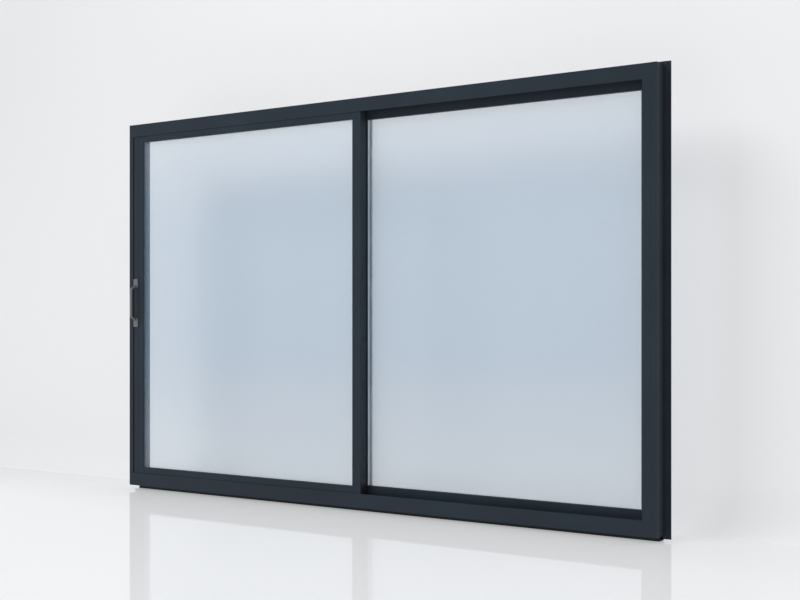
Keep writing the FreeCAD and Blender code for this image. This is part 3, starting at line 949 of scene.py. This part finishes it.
class WINDOW_OT_set_stage(bpy.types.Operator):
    """Lay the floor, stand the wall, and place the light and the camera"""

    bl_idname = "window.set_stage"
    bl_label = "Set Stage"

    def execute(self, context):
        scene = context.scene
        sizes = scene.window_stage
        self.floor(sizes)
        self.wall(sizes)
        self.key_light(scene, sizes)
        self.surroundings(scene, sizes)
        self.camera(scene, sizes)
        scene.view_settings.view_transform = "Standard"
        return {"FINISHED"}

    def show(self, name, shape, material):
        """Adds one stage object."""
        mesh = bpy.data.meshes.new(name)
        shape.to_mesh(mesh)
        shape.free()
        mesh.materials.append(material)
        mesh.shade_smooth()
        thing = bpy.data.objects.new(name, mesh)
        bpy.context.scene.collection.objects.link(thing)
        thing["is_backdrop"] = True

    def paper(self, name, sizes, painted, glow):
        """Pale lit paper: polished where flat, matt above, clear from behind."""
        finish = Finish(name)
        smear = finish.noise(scale=2.0)
        across = finish.part_of_place("X")
        depth = finish.part_of_place("Y")
        height = finish.part_of_place("Z")
        # Painted light and shade on the backdrop: its glow is dimmed to the left and
        # higher up, and made brighter on the floor in front, like a pool of light.
        left = 1.0 - across.between(*LEFT_FADE)
        dimming = left * (LEFT_DIM + height.between(*UPPER_FADE) * UPPER_DIM)
        dim = scaled(sizes.pale, sizes.edge_shade)
        front = scaled(sizes.pale, sizes.front_shade)
        pool = finish.mix(dimming, rgba(sizes.pale), dim)
        sheet = finish.node("ShaderNodeBsdfPrincipled", {}, {
            "Base Color": scaled(sizes.pale, painted),
            "Roughness": 0.9,
            "Specular IOR Level": 0.0,
            "Coat Weight": (1.0 - height.between(0.0, POLISH_TOP)) * sizes.polish,
            "Coat Roughness": 0.045,
            "Coat IOR": 1.4,
            "Emission Color": finish.mix(depth.between(*FRONT_FADE), pool, front),
            "Emission Strength": glow,
            "Normal": finish.bump(smear, strength=0.01, distance=MM),
        })[0]
        behind = finish.node("ShaderNodeNewGeometry", {}, {})["Backfacing"]
        clear = finish.node("ShaderNodeBsdfTransparent", {}, {})[0]
        inputs = {0: behind, 1: sheet, 2: clear}
        either = finish.node("ShaderNodeMixShader", {}, inputs)[0]
        finish.node("ShaderNodeOutputMaterial", {}, {"Surface": either})
        finish.holder.cycles.emission_sampling = "NONE"
        return finish.holder

    def floor(self, sizes):
        """Wide polished floor."""
        shape = bmesh.new()
        bmesh.ops.create_grid(shape, x_segments=1, y_segments=1, size=STAGE_REACH)
        paper = self.paper("floor", sizes, sizes.floor_share, sizes.floor_glow)
        self.show("floor", shape, paper)

    def wall(self, sizes):
        """Wall behind the window, curved into the floor."""
        foot_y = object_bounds()[1].y + sizes.wall_gap - sizes.cove
        shape = bmesh.new()
        bmesh.ops.create_vert(shape, co=(-STAGE_REACH, foot_y, WALL_LIFT))
        bmesh.ops.spin(
            shape, geom=shape.verts[:], cent=(0.0, foot_y, sizes.cove + WALL_LIFT),
            axis=ACROSS, dvec=(0.0, 0.0, 0.0), angle=math.radians(90.0), steps=24,
        )
        top = max(shape.verts, key=lambda vert: vert.co.z)
        made = bmesh.ops.extrude_vert_indiv(shape, verts=[top])
        bmesh.ops.translate(shape, verts=made["verts"], vec=UP * WALL_HEIGHT)
        made = bmesh.ops.extrude_edge_only(shape, edges=shape.edges[:])
        far = [item for item in made["geom"] if isinstance(item, bmesh.types.BMVert)]
        bmesh.ops.translate(shape, verts=far, vec=ACROSS * STAGE_REACH * 2.0)
        bmesh.ops.recalc_face_normals(shape, faces=shape.faces)
        if outermost(shape, 2, -1.0).normal.z < 0.0:
            bmesh.ops.reverse_faces(shape, faces=shape.faces)
        paper = self.paper("wall", sizes, sizes.share, sizes.glow)
        self.show("wall", shape, paper)

    def key_light(self, scene, sizes):
        """One large soft light from the front left."""
        key = bpy.data.lights.new("key", "AREA")
        key.shape = "RECTANGLE"
        key.size, key.size_y = sizes.key_size
        key.energy = sizes.key_power
        lamp = bpy.data.objects.new("key", key)
        lamp.location = sizes.key_place
        aim = KEY_AIM - lamp.location
        lamp.rotation_euler = aim.to_track_quat("-Z", "Y").to_euler()
        lamp.visible_glossy = False
        scene.collection.objects.link(lamp)

    def surroundings(self, scene, sizes):
        """Even light all round, and a paler haze where the surroundings are seen."""
        studio = Finish("studio", bpy.data.worlds)
        ray = studio.node("ShaderNodeLightPath", {}, {})
        seen = ray["Is Camera Ray"] + ray["Is Glossy Ray"] + ray["Is Transmission Ray"]
        strength = sizes.sky + seen.between(0.0, 1.0) * (sizes.haze - sizes.sky)
        inputs = {"Color": rgba(DAYLIGHT), "Strength": strength}
        around = studio.node("ShaderNodeBackground", {}, inputs)[0]
        studio.node("ShaderNodeOutputWorld", {}, {"Surface": around})
        scene.world = studio.holder

    def camera(self, scene, sizes):
        """Level camera at the photograph's viewing angle."""
        data = bpy.data.cameras.new("camera")
        data.sensor_width = 36.0
        data.lens = sizes.lens
        data.shift_y = sizes.shift
        camera = bpy.data.objects.new("camera", data)
        camera.location = sizes.camera_place
        camera.rotation_euler = (math.radians(90.0), 0.0, sizes.camera_turn)
        scene.collection.objects.link(camera)
        scene.camera = camera


class WINDOW_PT_panel(bpy.types.Panel):
    """Sizes, colours and steps of the window"""

    bl_idname = "WINDOW_PT_panel"
    bl_label = "Sliding Window"
    bl_space_type = "VIEW_3D"
    bl_region_type = "UI"
    bl_category = "Window"

    def draw(self, context):
        layout = self.layout
        for group, group_name in SETTINGS.items():
            box = layout.box()
            box.label(text=group.__doc__)
            for name in group.__annotations__:
                box.prop(getattr(context.scene, group_name), name)
        for step in STEPS:
            layout.operator(step.bl_idname)


SETTINGS = {
    FrameSettings: "window_frame",
    GlassSettings: "window_glass",
    HandleSettings: "window_handle",
    StageSettings: "window_stage",
}
STEPS = (
    WINDOW_OT_set_stage,
    WINDOW_OT_paint_frame,
    WINDOW_OT_paint_sashes,
    WINDOW_OT_finish_glass,
    WINDOW_OT_finish_tracks,
    WINDOW_OT_round_gaskets,
    WINDOW_OT_add_seals,
    WINDOW_OT_add_handle,
    WINDOW_OT_add_frame_screws,
)


def register():
    for group, name in SETTINGS.items():
        bpy.utils.register_class(group)
        setattr(bpy.types.Scene, name, bpy.props.PointerProperty(type=group))
    for step in STEPS:
        bpy.utils.register_class(step)
    bpy.utils.register_class(WINDOW_PT_panel)


def unregister():
    bpy.utils.unregister_class(WINDOW_PT_panel)
    for step in reversed(STEPS):
        bpy.utils.unregister_class(step)
    for group, name in reversed(SETTINGS.items()):
        delattr(bpy.types.Scene, name)
        bpy.utils.unregister_class(group)


def corners(bounds):
    """Lowest and highest corner as plain numbers."""
    return [list(bounds[0]), list(bounds[1])]


def main():
    """Registers the add-on and runs every step in order."""
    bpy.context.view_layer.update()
    register()
    for step in STEPS:
        family, name = step.bl_idname.split(".")
        getattr(getattr(bpy.ops, family), name)()


if __name__ == "__main__":
    main()
